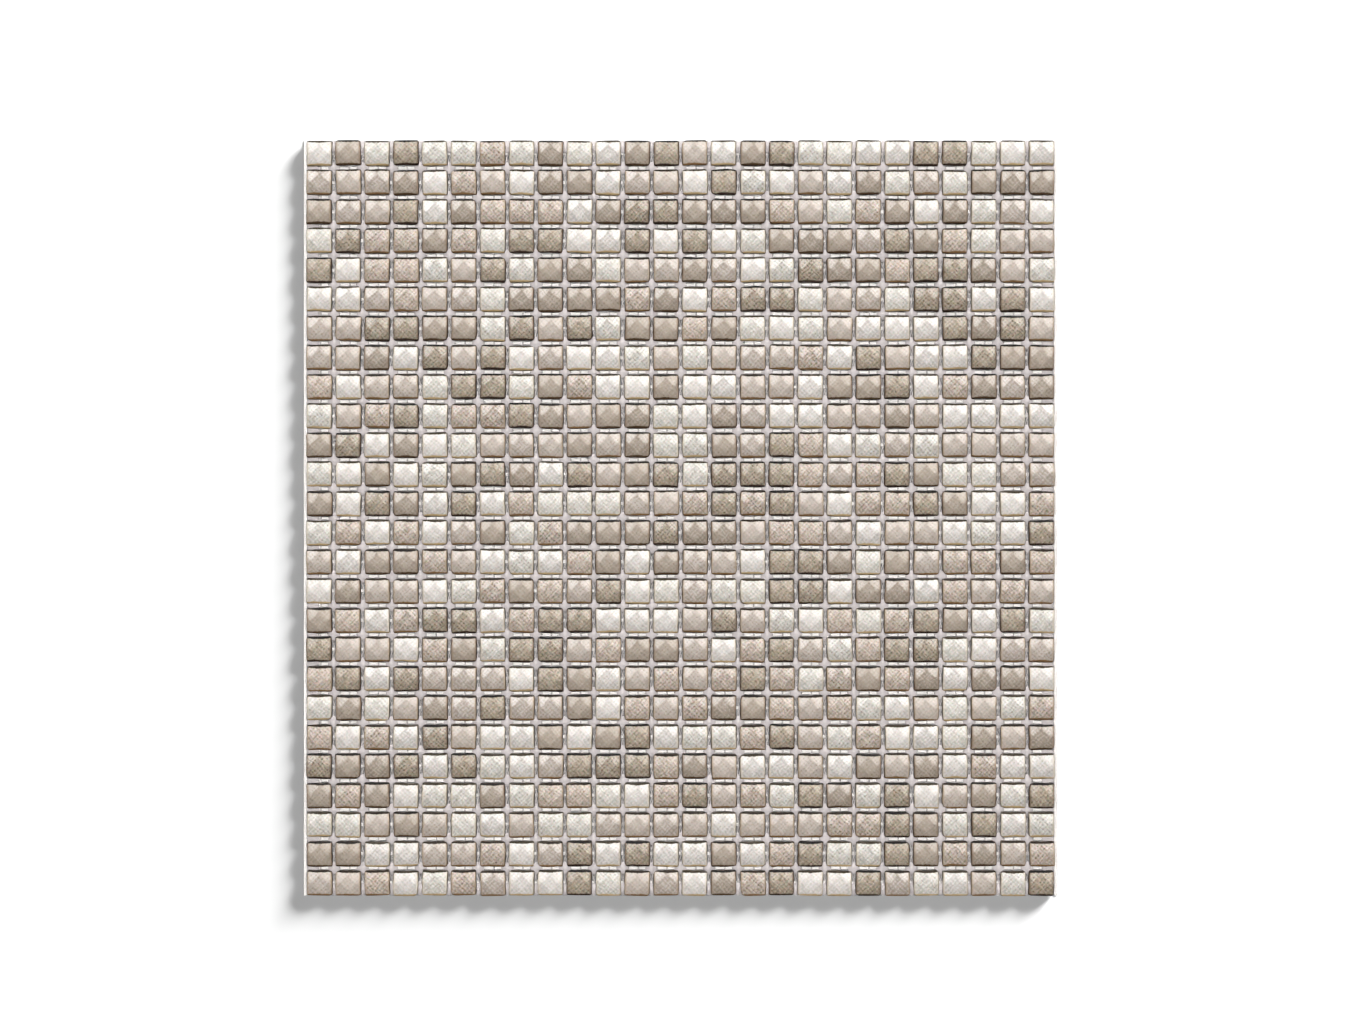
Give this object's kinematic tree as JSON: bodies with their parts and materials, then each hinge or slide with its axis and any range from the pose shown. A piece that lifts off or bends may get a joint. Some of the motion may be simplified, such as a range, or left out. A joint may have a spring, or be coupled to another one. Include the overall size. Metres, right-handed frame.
{
  "type": "mosaic tile sheet",
  "caption": "Flat square sheet of small faceted ceramic chips in mixed taupe, beige and cream glazes, held on a woven glass mesh by dots of white glue.",
  "frame": {"origin": "centre of the sheet's underside, the plane of the mesh that it rests on", "axes": "+Z out of the glazed face, +X along a row of chips, +Y up a column, towards the top of the picture"},
  "size_m": [0.3004, 0.3012, 0.006],
  "materials": {
    "taupe_smooth_glaze": "satin",
    "taupe_brushed_glaze": "satin",
    "beige_smooth_glaze": "satin",
    "beige_brushed_glaze": "satin",
    "cream_smooth_glaze": "satin",
    "cream_brushed_glaze": "satin",
    "glass_mesh": "matte",
    "white_glue": "satin"
  },
  "bodies": {
    "root": {"taupe_smooth_chips": "taupe_smooth_glaze", "taupe_brushed_chips": "taupe_brushed_glaze", "beige_smooth_chips": "beige_smooth_glaze", "beige_brushed_chips": "beige_brushed_glaze", "cream_smooth_chips": "cream_smooth_glaze", "cream_brushed_chips": "cream_brushed_glaze", "mesh_panel_1_1": "glass_mesh", "mesh_panel_1_2": "glass_mesh", "mesh_panel_1_3": "glass_mesh", "mesh_panel_2_1": "glass_mesh", "mesh_panel_2_2": "glass_mesh", "mesh_panel_2_3": "glass_mesh", "mesh_panel_3_1": "glass_mesh", "mesh_panel_3_2": "glass_mesh", "mesh_panel_3_3": "glass_mesh", "glue_dots": "white_glue"}
  },
  "joints": []
}
